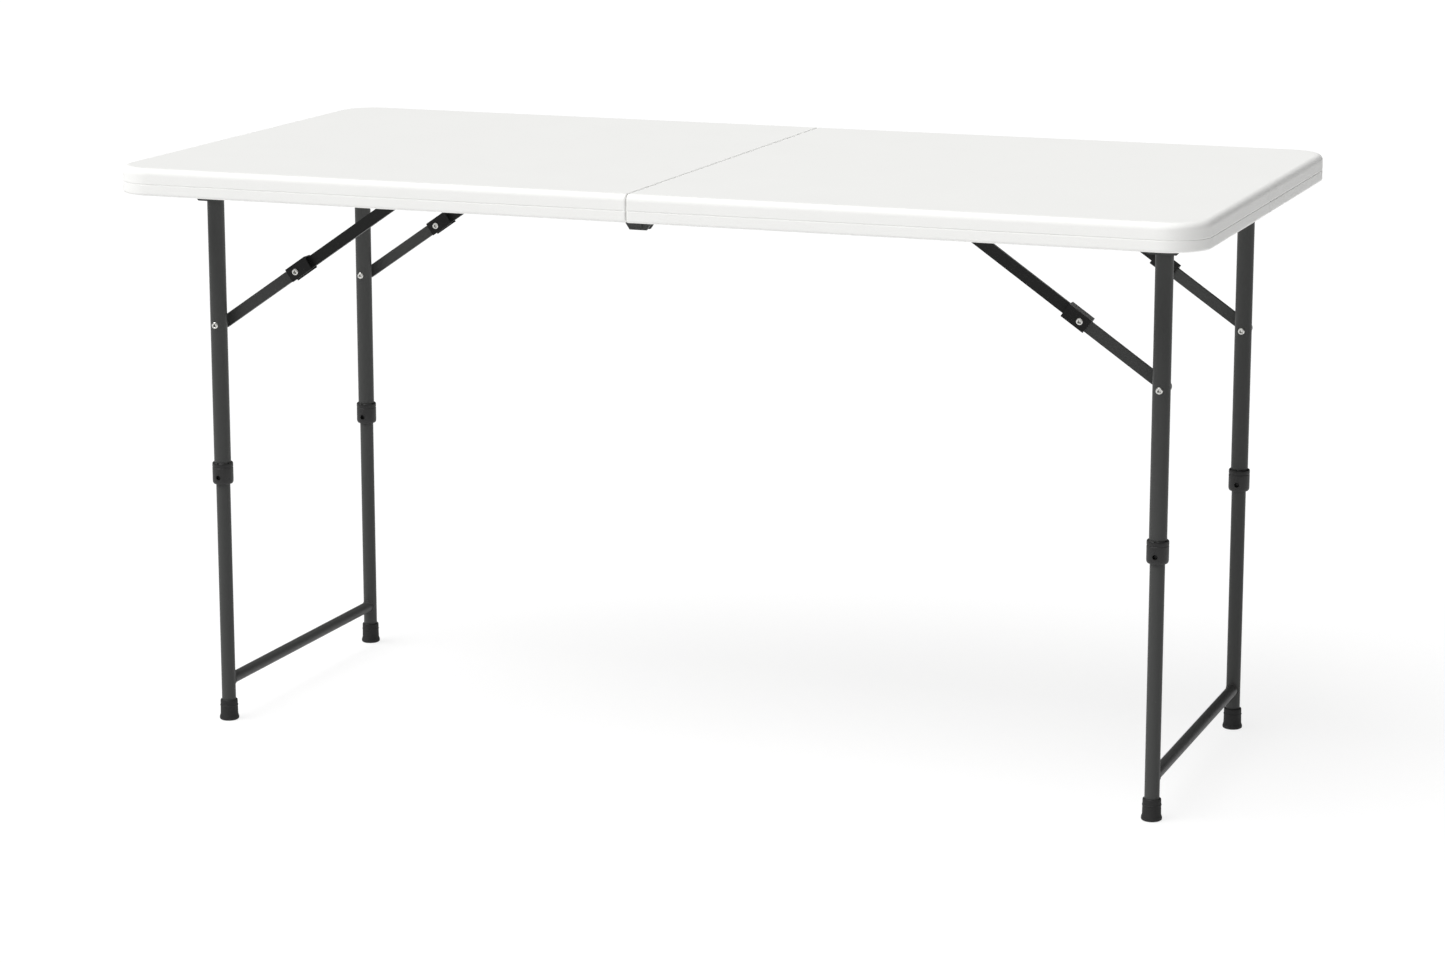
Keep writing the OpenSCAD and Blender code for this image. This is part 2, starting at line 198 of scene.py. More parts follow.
class StageSettings(bpy.types.PropertyGroup):
    """Floor, light and camera."""

    glow: FloatProperty(
        name="Floor glow", description="How brightly the floor is lit from below", default=0.82,
    )
    sky: FloatProperty(
        name="Surrounding light", description="Brightness of the light from all round",
        default=0.1,
    )
    key: FloatProperty(
        name="Key light", description="Strength of the large soft light at the front",
        default=3.55,
    )
    key_height: FloatProperty(
        name="Key height", description="Height of the key light above the horizon",
        subtype="ANGLE", default=math.radians(60),
    )
    key_side: FloatProperty(
        name="Key side", description="How far the key light stands to the left of the front",
        subtype="ANGLE", default=math.radians(44),
    )


def settings():
    """The scene's settings of the three groups."""
    scene = bpy.context.scene
    return scene.table_top, scene.table_frame, scene.table_stage


# ---- mesh helpers ----


def new_object(name, mesh):
    """An object at the origin that shows the mesh."""
    piece = bpy.data.objects.new(name, mesh)
    bpy.context.scene.collection.objects.link(piece)
    return piece


def from_bmesh(name, bm, smooth=35):
    """Turns a bmesh into an object, smooth where faces meet at less than `smooth` degrees."""
    mesh = bpy.data.meshes.new(name)
    bm.to_mesh(mesh)
    bm.free()
    mesh.shade_smooth()
    mesh.set_sharp_from_angle(angle=math.radians(smooth))
    return new_object(name, mesh)


def baked(piece):
    """Replaces a piece's modifiers by their result."""
    depsgraph = bpy.context.evaluated_depsgraph_get()
    mesh = bpy.data.meshes.new_from_object(piece.evaluated_get(depsgraph))
    piece.modifiers.clear()
    old = piece.data
    piece.data = mesh
    mesh.name = piece.name
    bpy.data.meshes.remove(old)
    return piece


def dress(piece, material, body, slot, *nodes):
    """Gives a finished piece its material, its body and the frame nodes it stands for."""
    piece.data.materials.clear()
    piece.data.materials.append(material)
    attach(piece, body)
    if nodes:
        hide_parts(*nodes)
    return piece


def softened(node, width, smooth=50):
    """A copy of a frame node with its hard edges rounded, as pressed or turned ones are."""
    bm = bmesh.new()
    bm.from_mesh(frame["nodes"][node].data)
    bmesh.ops.remove_doubles(bm, verts=bm.verts, dist=0.002 * MM)
    bmesh.ops.dissolve_degenerate(bm, edges=bm.edges, dist=0.001 * MM)
    bmesh.ops.dissolve_limit(bm, angle_limit=math.radians(0.5), verts=bm.verts, edges=bm.edges)
    piece = from_bmesh(node + "_finished", bm)
    bevel = piece.modifiers.new("rounded edges", "BEVEL")
    bevel.width = width
    bevel.segments = 2
    bevel.limit_method = "ANGLE"
    bevel.angle_limit = math.radians(40)
    baked(piece)
    piece.data.shade_smooth()
    piece.data.set_sharp_from_angle(angle=math.radians(smooth))
    flat = piece.modifiers.new("flat faces", "WEIGHTED_NORMAL")
    flat.keep_sharp = True
    return baked(piece)


def lathe(name, profile, centre, steps=64):
    """A closed turned shape: profile is (radius, height) pairs on the upright axis at centre."""
    bm = bmesh.new()
    turns = [math.tau * step / steps for step in range(steps)]
    rings = []
    for radius, height in profile:
        if radius == 0:
            rings.append([bm.verts.new((centre.x, centre.y, height))])
            continue
        rings.append([
            bm.verts.new((centre.x + radius * math.cos(turn), centre.y + radius * math.sin(turn),
                          height))
            for turn in turns
        ])
    pairs = list(zip(rings, rings[1:]))
    if len(rings[0]) > 1 and len(rings[-1]) > 1:
        pairs.append((rings[-1], rings[0]))
    for one, two in pairs:
        for step in range(steps):
            after = (step + 1) % steps
            corners = (one[step % len(one)], one[after % len(one)],
                       two[after % len(two)], two[step % len(two)])
            bm.faces.new(list(dict.fromkeys(corners)))
    bmesh.ops.recalc_face_normals(bm, faces=bm.faces)
    return from_bmesh(name, bm)


# ---- materials ----


def linear(colour):
    """An sRGB hex string or a colour setting, as the linear RGBA that sockets take."""
    if isinstance(colour, str):
        colour = [int(colour[i:i + 2], 16) / 255 for i in (1, 3, 5)]
    return [c / 12.92 if c <= 0.04045 else ((c + 0.055) / 1.055) ** 2.4 for c in colour] + [1]


def add(tree, kind, values, **options):
    """Adds a node to a tree. A value for one of its inputs is a number, or a socket to link."""
    node = tree.nodes.new(kind)
    for name, option in options.items():
        setattr(node, name, option)
    for key, value in values.items():
        if isinstance(value, bpy.types.NodeSocket):
            tree.links.new(value, node.inputs[key])
        else:
            node.inputs[key].default_value = value
    node.location = (220 * (len(tree.nodes) % 8), -260 * (len(tree.nodes) // 8))
    return node


def new_material(name, values):
    """A material with one Principled shader that has these values."""
    material = bpy.data.materials.new(name)
    material.use_nodes = True
    tree = material.node_tree
    tree.nodes.clear()
    shader = add(tree, "ShaderNodeBsdfPrincipled", values)
    add(tree, "ShaderNodeOutputMaterial", {"Surface": shader.outputs["BSDF"]})
    place = add(tree, "ShaderNodeTexCoord", {})
    return material, tree, shader, place.outputs["Object"]


def moulded_plastic(name, colour, pebble, depth):
    """High-density polyethylene, blow-moulded against a sandblasted mould.

    The eye gets a waxy half-matt white: a fine pebble that breaks up the gloss, very slow
    waves where the walls cooled unevenly, and a colour that is hardly uneven at all.
    """
    material, tree, shader, place = new_material(name, {"Roughness": 0.52, "IOR": 1.54,
                                                        "Specular IOR Level": 0.12})
    # The pebble is about 0.7 mm across. It is drawn 1.6 mm across so that it shows.
    grain = add(tree, "ShaderNodeTexVoronoi", {"Vector": place, "Scale": 1 / pebble,
                                               "Randomness": 1.0}, feature="SMOOTH_F1")
    fine = add(tree, "ShaderNodeTexNoise", {"Vector": place, "Scale": 1 / (0.9 * MM),
                                            "Detail": 3.0})
    # Cooling waves are 80 to 120 mm long.
    wave = add(tree, "ShaderNodeTexNoise", {"Vector": place, "Scale": 1 / (110 * MM),
                                            "Detail": 1.0})
    waved = add(tree, "ShaderNodeBump", {"Height": wave.outputs["Fac"], "Distance": 0.25 * MM,
                                         "Strength": 0.5})
    grained = add(tree, "ShaderNodeBump", {"Height": grain.outputs["Distance"], "Distance": depth,
                                           "Strength": 0.5, "Normal": waved.outputs["Normal"]})
    rough = add(tree, "ShaderNodeBump", {"Height": fine.outputs["Fac"], "Distance": depth / 2,
                                         "Strength": 0.4, "Normal": grained.outputs["Normal"]})
    tree.links.new(rough.outputs["Normal"], shader.inputs["Normal"])
    cloud = add(tree, "ShaderNodeTexNoise", {"Vector": place, "Scale": 1 / (60 * MM),
                                             "Detail": 4.0})
    tint = add(tree, "ShaderNodeMix", {"Factor": cloud.outputs["Fac"], "A": linear(colour),
                                       "B": linear([0.993 * part for part in colour])},
               data_type="RGBA")
    tree.links.new(tint.outputs["Result"], shader.inputs["Base Color"])
    gloss = add(tree, "ShaderNodeMapRange", {"Value": cloud.outputs["Fac"], "From Min": 0.3,
                                             "From Max": 0.7, "To Min": 0.5, "To Max": 0.54})
    tree.links.new(gloss.outputs["Result"], shader.inputs["Roughness"])
    return material


def coated_steel(name, colour, rough, peel, worn="#5A5B59"):
    """Steel with a baked powder coat.

    The eye gets a soft satin sheen with fine orange peel, a few lighter rubbed specks and
    slightly uneven gloss.
    """
    material, tree, shader, place = new_material(name, {"Roughness": rough, "IOR": 1.5,
                                                        "Specular IOR Level": 0.18})
    # Orange peel has cells of about 1 mm. They are drawn 1.8 mm wide so that they show.
    cells = add(tree, "ShaderNodeTexNoise", {"Vector": place, "Scale": 1 / (1.8 * MM),
                                             "Detail": 2.0})
    bump = add(tree, "ShaderNodeBump", {"Height": cells.outputs["Fac"], "Distance": peel,
                                        "Strength": 0.7})
    tree.links.new(bump.outputs["Normal"], shader.inputs["Normal"])
    # Rubbed specks are 3 to 5 mm across and cover only a few hundredths of the surface.
    specks = add(tree, "ShaderNodeTexNoise", {"Vector": place, "Scale": 1 / (9 * MM),
                                              "Detail": 6.0, "Roughness": 0.7})
    rubbed = add(tree, "ShaderNodeMapRange", {"Value": specks.outputs["Fac"], "From Min": 0.66,
                                              "From Max": 0.78, "To Min": 0.0, "To Max": 0.5})
    tint = add(tree, "ShaderNodeMix", {"Factor": rubbed.outputs["Result"], "A": linear(colour),
                                       "B": linear(worn)}, data_type="RGBA")
    tree.links.new(tint.outputs["Result"], shader.inputs["Base Color"])
    gloss = add(tree, "ShaderNodeMapRange", {"Value": specks.outputs["Fac"], "From Min": 0.3,
                                             "From Max": 0.7, "To Min": rough - 0.04,
                                             "To Max": rough + 0.05})
    tree.links.new(gloss.outputs["Result"], shader.inputs["Roughness"])
    return material


def black_moulding(name, colour, rough, grain, depth):
    """A small black part moulded in polypropylene or rubber.

    The eye gets a dull black with a fine spark-eroded grain and paler dust in the hollows.
    """
    material, tree, shader, place = new_material(name, {"Roughness": rough, "IOR": 1.49})
    # Spark-eroded grain is 0.3 mm across. It is drawn as coarse as it needs to show.
    spark = add(tree, "ShaderNodeTexNoise", {"Vector": place, "Scale": 1 / grain, "Detail": 4.0})
    bump = add(tree, "ShaderNodeBump", {"Height": spark.outputs["Fac"], "Distance": depth,
                                        "Strength": 0.8})
    tree.links.new(bump.outputs["Normal"], shader.inputs["Normal"])
    dust = add(tree, "ShaderNodeTexNoise", {"Vector": place, "Scale": 1 / (14 * MM),
                                            "Detail": 5.0})
    dusty = add(tree, "ShaderNodeMapRange", {"Value": dust.outputs["Fac"], "From Min": 0.45,
                                             "From Max": 0.75, "To Min": 0.0, "To Max": 0.25})
    tint = add(tree, "ShaderNodeMix", {"Factor": dusty.outputs["Result"], "A": linear(colour),
                                       "B": linear("#2E2E2D")}, data_type="RGBA")
    tree.links.new(tint.outputs["Result"], shader.inputs["Base Color"])
    gloss = add(tree, "ShaderNodeMapRange", {"Value": dust.outputs["Fac"], "From Min": 0.3,
                                             "From Max": 0.7, "To Min": rough - 0.05,
                                             "To Max": rough + 0.06})
    tree.links.new(gloss.outputs["Result"], shader.inputs["Roughness"])
    return material


def bright_metal(name, colour, rough, scratch=0.3 * MM):
    """Bare or zinc-plated steel.

    The eye gets a clear grey shine, clouded by the plating, with fine scratches across it.
    """
    material, tree, shader, place = new_material(name, {"Roughness": rough, "Metallic": 1.0})
    cloud = add(tree, "ShaderNodeTexNoise", {"Vector": place, "Scale": 1 / (4 * MM),
                                             "Detail": 3.0})
    tint = add(tree, "ShaderNodeMix", {"Factor": cloud.outputs["Fac"], "A": linear(colour),
                                       "B": linear("#C4C3BF")}, data_type="RGBA")
    tree.links.new(tint.outputs["Result"], shader.inputs["Base Color"])
    gloss = add(tree, "ShaderNodeMapRange", {"Value": cloud.outputs["Fac"], "From Min": 0.3,
                                             "From Max": 0.7, "To Min": rough - 0.06,
                                             "To Max": rough + 0.1})
    tree.links.new(gloss.outputs["Result"], shader.inputs["Roughness"])
    # Scratches are 0.1 mm wide and 2.5 mm long. They are drawn 0.3 mm wide.
    thin, long = 1 / scratch, 1 / (2.5 * MM)
    stretch = add(tree, "ShaderNodeMapping", {"Vector": place, "Scale": (thin, thin, long)})
    marks = add(tree, "ShaderNodeTexNoise", {"Vector": stretch.outputs["Vector"], "Scale": 1.0,
                                             "Detail": 2.0})
    bump = add(tree, "ShaderNodeBump", {"Height": marks.outputs["Fac"], "Distance": 0.03 * MM,
                                        "Strength": 0.6})
    tree.links.new(bump.outputs["Normal"], shader.inputs["Normal"])
    return material


MATERIALS = {}


def make_materials():
    """All finishes, by the record's material slot."""
    top, steel, _ = settings()
    MATERIALS.update({
        "white_plastic": moulded_plastic("Blow_moulded_polyethylene", tuple(top.colour),
                                         pebble=1.6 * MM, depth=0.12 * MM),
        "frame_steel": coated_steel("Charcoal_powder_coat", tuple(steel.tube_colour), rough=0.44,
                                    peel=0.1 * MM),
        "arm_steel": coated_steel("Black_powder_coat", tuple(steel.arm_colour), rough=0.42,
                                  peel=0.08 * MM, worn="#3A3B3A"),
        "sleeve_steel": coated_steel("Black_gloss_paint", tuple(steel.plastic_colour), rough=0.36,
                                     peel=0.05 * MM, worn="#333433"),
        "collar_plastic": black_moulding("Black_polypropylene", tuple(steel.plastic_colour),
                                         rough=0.5, grain=0.9 * MM, depth=0.08 * MM),
        "foot_rubber": black_moulding("Black_rubber", "#131313", rough=0.68, grain=1.4 * MM,
                                      depth=0.15 * MM),
        "rivet_steel": bright_metal("Bright_zinc_plate", "#EDEDEA", rough=0.26),
        "pin_steel": bright_metal("Dull_zinc_plate", "#D2D2CE", rough=0.36),
        "screw_steel": bright_metal("Zinc_plated_screw_steel", "#D8D7D2", rough=0.3),
        "button_steel": coated_steel("Black_oxide_steel", "#1A1A1A", rough=0.3, peel=0.03 * MM,
                                     worn="#4A4A49"),
        "spring_steel": bright_metal("Tempered_spring_steel", "#A9A8A4", rough=0.32),
    })


# ---- geometry nodes ----


def new_tree(name, sizes):
    """A Geometry Nodes tree that takes a shape, named sizes in metres and a finish."""
    tree = bpy.data.node_groups.new(name, "GeometryNodeTree")
    tree.is_modifier = True
    tree.interface.new_socket("Geometry", in_out="INPUT", socket_type="NodeSocketGeometry")
    for size in sizes:
        socket = tree.interface.new_socket(size, in_out="INPUT", socket_type="NodeSocketFloat")
        socket.subtype = "DISTANCE"
    tree.interface.new_socket("Finish", in_out="INPUT", socket_type="NodeSocketMaterial")
    tree.interface.new_socket("Geometry", in_out="OUTPUT", socket_type="NodeSocketGeometry")
    return tree, add(tree, "NodeGroupInput", {}).outputs


def close_tree(tree, geometry, given):
    """Ends a tree: real geometry, with the finish on it."""
    real = add(tree, "GeometryNodeRealizeInstances", {"Geometry": geometry})
    finished = add(tree, "GeometryNodeSetMaterial", {"Geometry": real.outputs[0],
                                                     "Material": given["Finish"]})
    add(tree, "NodeGroupOutput", {"Geometry": finished.outputs[0]})


def grown(piece, tree, finish, **sizes):
    """Runs a tree on a piece with these sizes and keeps the result as its mesh."""
    modifier = piece.modifiers.new(tree.name, "NODES")
    modifier.node_group = tree
    values = {name.replace("_", " ").capitalize(): value for name, value in sizes.items()}
    values["Finish"] = finish
    for socket in tree.interface.items_tree:
        if socket.in_out == "INPUT" and socket.name in values:
            modifier[socket.identifier] = values[socket.name]
    baked(piece)
    piece.data.shade_smooth()
    piece.data.set_sharp_from_angle(angle=math.radians(38))
    return piece


def at_points(name, places):
    """An object with one loose point at each place, for a tree to set things on."""
    mesh = bpy.data.meshes.new(name)
    mesh.from_pydata(places, [], [])
    return new_object(name, mesh)


def rivet_tree():
    """Tubular rivets along Y, with a rolled ring for a head and a hollow in its middle."""
    tree, given = new_tree("tubular rivets", ("Head radius", "Bore radius", "Head height",
                                              "Shank radius", "Length", "Tail radius"))
    outer = add(tree, "ShaderNodeMath", {0: given["Head radius"], 1: given["Bore radius"]})
    centre = add(tree, "ShaderNodeMath", {0: outer.outputs[0], 1: 0.5}, operation="MULTIPLY")
    width = add(tree, "ShaderNodeMath", {0: given["Head radius"], 1: given["Bore radius"]},
                operation="SUBTRACT")
    half = add(tree, "ShaderNodeMath", {0: width.outputs[0], 1: 0.5}, operation="MULTIPLY")
    path = add(tree, "GeometryNodeCurvePrimitiveCircle", {"Resolution": 36,
                                                          "Radius": centre.outputs[0]})
    roll = add(tree, "GeometryNodeCurvePrimitiveCircle", {"Resolution": 12,
                                                          "Radius": half.outputs[0]})
    ring = add(tree, "GeometryNodeCurveToMesh", {"Curve": path.outputs[0],
                                                 "Profile Curve": roll.outputs[0]})
    # The ring sinks a third of its half height into the plate, so it is flattened to suit.
    flat = add(tree, "ShaderNodeMath", {0: given["Head height"], 1: width.outputs[0]},
               operation="DIVIDE")
    squeeze = add(tree, "ShaderNodeMath", {0: flat.outputs[0], 1: 1.5}, operation="MULTIPLY")
    scale = add(tree, "ShaderNodeCombineXYZ", {"X": 1.0, "Y": 1.0, "Z": squeeze.outputs[0]})
    back = add(tree, "ShaderNodeMath", {0: given["Head height"], 1: -0.25},
               operation="MULTIPLY")
    stand = add(tree, "ShaderNodeCombineXYZ", {"Y": back.outputs[0]})
    flattened = add(tree, "GeometryNodeTransform", {"Geometry": ring.outputs[0],
                                                    "Scale": scale.outputs[0]})
    head = add(tree, "GeometryNodeTransform", {"Geometry": flattened.outputs[0],
                                               "Translation": stand.outputs[0],
                                               "Rotation": (math.pi / 2, 0, 0)})
    end = add(tree, "ShaderNodeCombineXYZ", {"Y": given["Length"]})
    axis = add(tree, "GeometryNodeCurvePrimitiveLine", {"Start": (0, 1.2 * MM, 0),
                                                        "End": end.outputs[0]})
    round_bar = add(tree, "GeometryNodeCurvePrimitiveCircle", {"Resolution": 24,
                                                               "Radius": given["Shank radius"]})
    shank = add(tree, "GeometryNodeCurveToMesh", {"Curve": axis.outputs[0], "Fill Caps": True,
                                                  "Profile Curve": round_bar.outputs[0]})
    button = add(tree, "GeometryNodeMeshCylinder", {"Vertices": 32, "Radius": given["Tail radius"],
                                                    "Depth": 0.7 * MM})
    crown = add(tree, "GeometryNodeExtrudeMesh", {"Mesh": button.outputs["Mesh"],
                                                  "Selection": button.outputs["Bottom"],
                                                  "Offset Scale": 0.3 * MM})
    domed = add(tree, "GeometryNodeScaleElements", {"Geometry": crown.outputs["Mesh"],
                                                    "Selection": crown.outputs["Top"],
                                                    "Scale": 0.8})
    rise = add(tree, "ShaderNodeMath", {0: given["Length"], 1: 0.35 * MM})
    seat = add(tree, "ShaderNodeCombineXYZ", {"Y": rise.outputs[0]})
    tail = add(tree, "GeometryNodeTransform", {"Geometry": domed.outputs[0],
                                               "Translation": seat.outputs[0],
                                               "Rotation": (math.pi / 2, 0, 0)})
    has_tail = add(tree, "FunctionNodeCompare", {"A": given["Tail radius"],
                                                 "B": given["Shank radius"]},
                   operation="GREATER_THAN")
    tail_or_none = add(tree, "GeometryNodeSwitch", {"Switch": has_tail.outputs[0],
                                                    "True": tail.outputs[0]}, input_type="GEOMETRY")
    rivet = add(tree, "GeometryNodeJoinGeometry", {})
    for part in (head, shank, tail_or_none):
        tree.links.new(part.outputs[0], rivet.inputs[0])
    spread = add(tree, "GeometryNodeInstanceOnPoints", {"Points": given["Geometry"],
                                                        "Instance": rivet.outputs[0]})
    close_tree(tree, spread.outputs[0], given)
    return tree


def screw_tree():
    """Pan-head screws that point down, with a cross recess in the head."""
    tree, given = new_tree("pan head screws", ("Head radius", "Head height", "Shank radius",
                                               "Length", "Slot width"))
    low = add(tree, "ShaderNodeMath", {0: given["Head height"], 1: 0.5}, operation="MULTIPLY")
    rim = add(tree, "GeometryNodeMeshCylinder", {"Vertices": 28, "Radius": given["Head radius"],
                                                 "Depth": low.outputs[0]})
    layer = rim.outputs["Mesh"], rim.outputs["Top"]
    for rise, shrink in ((0.25, 0.9), (0.15, 0.85), (0.1, 0.72)):
        step = add(tree, "ShaderNodeMath", {0: given["Head height"], 1: rise},
                   operation="MULTIPLY")
        up = add(tree, "GeometryNodeExtrudeMesh", {"Mesh": layer[0], "Selection": layer[1],
                                                   "Offset Scale": step.outputs[0]})
        inwards = add(tree, "GeometryNodeScaleElements", {"Geometry": up.outputs["Mesh"],
                                                          "Selection": up.outputs["Top"],
                                                          "Scale": shrink})
        layer = inwards.outputs[0], up.outputs["Top"]
    cross = add(tree, "GeometryNodeJoinGeometry", {})
    for turned in (False, True):
        along, across = given["Head radius"], given["Slot width"]
        size = add(tree, "ShaderNodeCombineXYZ", {"X": across if turned else along,
                                                  "Y": along if turned else across,
                                                  "Z": given["Head height"]})
        blade = add(tree, "GeometryNodeMeshCube", {"Size": size.outputs[0]})
        lift = add(tree, "ShaderNodeCombineXYZ", {"Z": given["Head height"]})
        lifted = add(tree, "GeometryNodeTransform", {"Geometry": blade.outputs[0],
                                                     "Translation": lift.outputs[0]})
        tree.links.new(lifted.outputs[0], cross.inputs[0])
    cut = add(tree, "GeometryNodeMeshBoolean", {"Mesh 1": layer[0], "Mesh 2": cross.outputs[0],
                                                "Self Intersection": True},
              operation="DIFFERENCE", solver="EXACT")
    quarter = add(tree, "ShaderNodeMath", {0: given["Head height"], 1: -0.25},
                  operation="MULTIPLY")
    seat = add(tree, "ShaderNodeCombineXYZ", {"Z": quarter.outputs[0]})
    head = add(tree, "GeometryNodeTransform", {"Geometry": cut.outputs[0],
                                               "Translation": seat.outputs[0],
                                               "Rotation": (math.pi, 0, 0)})
    bar = add(tree, "GeometryNodeMeshCylinder", {"Vertices": 12, "Radius": given["Shank radius"],
                                                 "Depth": given["Length"]})
    mid = add(tree, "ShaderNodeMath", {0: given["Length"], 1: 0.5}, operation="MULTIPLY")
    rise = add(tree, "ShaderNodeCombineXYZ", {"Z": mid.outputs[0]})
    shank = add(tree, "GeometryNodeTransform", {"Geometry": bar.outputs["Mesh"],
                                                "Translation": rise.outputs[0]})
    screw = add(tree, "GeometryNodeJoinGeometry", {})
    for part in (head, shank):
        tree.links.new(part.outputs[0], screw.inputs[0])
    turn = add(tree, "FunctionNodeRandomValue", {2: 0.0, 3: math.tau, "Seed": 7})
    angle = add(tree, "ShaderNodeCombineXYZ", {"Z": turn.outputs[1]})
    spread = add(tree, "GeometryNodeInstanceOnPoints", {"Points": given["Geometry"],
                                                        "Instance": screw.outputs[0],
                                                        "Rotation": angle.outputs[0]})
    close_tree(tree, spread.outputs[0], given)
    return tree


def weld_tree():
    """A rippled weld bead along each run of edges."""
    tree, given = new_tree("weld beads", ("Bead radius", "Ripple"))
    path = add(tree, "GeometryNodeMeshToCurve", {"Mesh": given["Geometry"]})
    even = add(tree, "GeometryNodeResampleCurve", {"Curve": path.outputs[0], "Count": 72})
    round_bead = add(tree, "GeometryNodeCurvePrimitiveCircle", {"Resolution": 10,
                                                                "Radius": given["Bead radius"]})
    bead = add(tree, "GeometryNodeCurveToMesh", {"Curve": even.outputs[0],
                                                 "Profile Curve": round_bead.outputs[0]})
    lumps = add(tree, "ShaderNodeTexNoise", {"Scale": 1 / (2.2 * MM), "Detail": 1.0})
    centred = add(tree, "ShaderNodeMath", {0: lumps.outputs["Fac"], 1: 0.5}, operation="SUBTRACT")
    height = add(tree, "ShaderNodeMath", {0: centred.outputs[0], 1: given["Ripple"]},
                 operation="MULTIPLY")
    normal = add(tree, "GeometryNodeInputNormal", {})
    out = add(tree, "ShaderNodeVectorMath", {0: normal.outputs[0], "Scale": height.outputs[0]},
              operation="SCALE")
    rippled = add(tree, "GeometryNodeSetPosition", {"Geometry": bead.outputs[0],
                                                    "Offset": out.outputs[0]})
    close_tree(tree, rippled.outputs[0], given)
    return tree


def dimple_tree():
    """Sets a tapered cup on each loose point of a shell and joins it to the shell."""
    tree, given = new_tree("deck dimples", ("Mouth radius", "Depth"))
    marked = add(tree, "GeometryNodeInputNamedAttribute", {"Name": "cup"}, data_type="BOOLEAN")
    parts = add(tree, "GeometryNodeSeparateGeometry", {"Geometry": given["Geometry"],
                                                       "Selection": marked.outputs[0]})
    mouth = add(tree, "GeometryNodeMeshCircle", {"Vertices": DIMPLE_SIDES,
                                                 "Radius": given["Mouth radius"]},
                fill_type="NGON")
    layer = mouth.outputs[0], None
    for rise, shrink in ((0.3, 0.9), (0.5, 0.74), (0.2, 0.7)):
        step = add(tree, "ShaderNodeMath", {0: given["Depth"], 1: rise}, operation="MULTIPLY")
        values = {"Mesh": layer[0], "Offset Scale": step.outputs[0]}
        if layer[1]:
            values["Selection"] = layer[1]
        up = add(tree, "GeometryNodeExtrudeMesh", values)
        inwards = add(tree, "GeometryNodeScaleElements", {"Geometry": up.outputs["Mesh"],
                                                          "Selection": up.outputs["Top"],
                                                          "Scale": shrink})
        layer = inwards.outputs[0], up.outputs["Top"]
    hollow = add(tree, "GeometryNodeFlipFaces", {"Mesh": layer[0]})
    spread = add(tree, "GeometryNodeInstanceOnPoints", {"Points": parts.outputs["Selection"],
                                                        "Instance": hollow.outputs[0]})
    real = add(tree, "GeometryNodeRealizeInstances", {"Geometry": spread.outputs[0]})
    whole = add(tree, "GeometryNodeJoinGeometry", {})
    for part in (parts.outputs["Inverted"], real.outputs[0]):
        tree.links.new(part, whole.inputs[0])
    joined = add(tree, "GeometryNodeMergeByDistance", {"Geometry": whole.outputs[0],
                                                       "Distance": 0.02 * MM})
    close_tree(tree, joined.outputs[0], given)
    return tree


# ---- the top ----


def top_section(top):
    """The skirt's section from the face round to the deck's underside.

    Each entry is (distance in from the skirt's face, height, outward part of the surface's
    direction, upward part).
    """
    arc = [math.radians(a) for a in range(0, 91, 15)]
    r, lip, wall, fillet = top.edge_radius, top.lip_radius, top.skirt_wall, 4 * MM
    line_z, groove = TOP_Z - top.parting_drop, top.parting_depth
    # Each flat stretch starts and ends with a narrow strip, so that it shades as flat.
    section = [(r + STRIP, TOP_Z, 0, 1)]
    section += [
        (r - r * math.sin(a), TOP_Z - r + r * math.cos(a), math.sin(a), math.cos(a)) for a in arc
    ]
    section += [
        (0, TOP_Z - r - STRIP, 1, 0), (0, line_z + 1.3 * groove + STRIP, 1, 0),
        (0, line_z + 1.3 * groove, 1, 0), (groove, line_z, 1, 0), (0, line_z - 1.3 * groove, 1, 0),
        (0, line_z - 1.3 * groove - STRIP, 1, 0), (0, SKIRT_Z + lip + STRIP, 1, 0),
    ]
    section += [
        (lip - lip * math.cos(a), SKIRT_Z + lip - lip * math.sin(a), math.cos(a), -math.sin(a))
        for a in arc[::2]
    ]
    section += [
        (wall - lip + lip * math.sin(a), SKIRT_Z + lip - lip * math.cos(a),
         -math.sin(a), -math.cos(a))
        for a in arc[::2]
    ]
    section += [(wall, SKIRT_Z + lip + STRIP, -1, 0), (wall, DECK_Z - fillet - STRIP, -1, 0)]
    section += [
        (wall + fillet - fillet * math.cos(a), DECK_Z - fillet + fillet * math.sin(a),
         -math.cos(a), -math.sin(a))
        for a in arc[::2]
    ]
    return section + [(wall + fillet + STRIP, DECK_Z, 0, -1)]


def top_columns(top):
    """Where the section stands round a half, and how many columns round off the seam.

    Each column is (kind, its place or angle, how far the seam rounds it off).
    """
    turns = [math.radians(a) for a in range(0, 91, 30)]
    seam = [
        (top.seam_radius * (1 - math.cos(turn)), top.seam_radius * (1 - math.sin(turn)))
        for turn in turns
    ]
    seam.append((top.seam_radius + STRIP, 0))
    bends = [math.radians(90 * step / CORNER_STEPS) for step in range(CORNER_STEPS + 1)]
    # Half the width of the groove up the middle of the end, at its mouth.
    notch = 1.2 * MM
    straight = HALF_L - SEAM_X - top.corner_radius - STRIP
    side = HALF_W - top.corner_radius - STRIP
    columns = [("rear", along, cut) for along, cut in seam + [(straight, 0)]]
    columns += [("rear corner", math.pi / 2 + bend, 0) for bend in bends]
    columns += [("end", place, 0)
                for place in (side, notch + STRIP, notch, notch / 3, -notch / 3, -notch,
                              -notch - STRIP, -side)]
    columns += [("front corner", math.pi + bend, 0) for bend in bends]
    columns += [("front", along, cut) for along, cut in [(straight, 0)] + seam[::-1]]
    return columns, len(seam) - 1


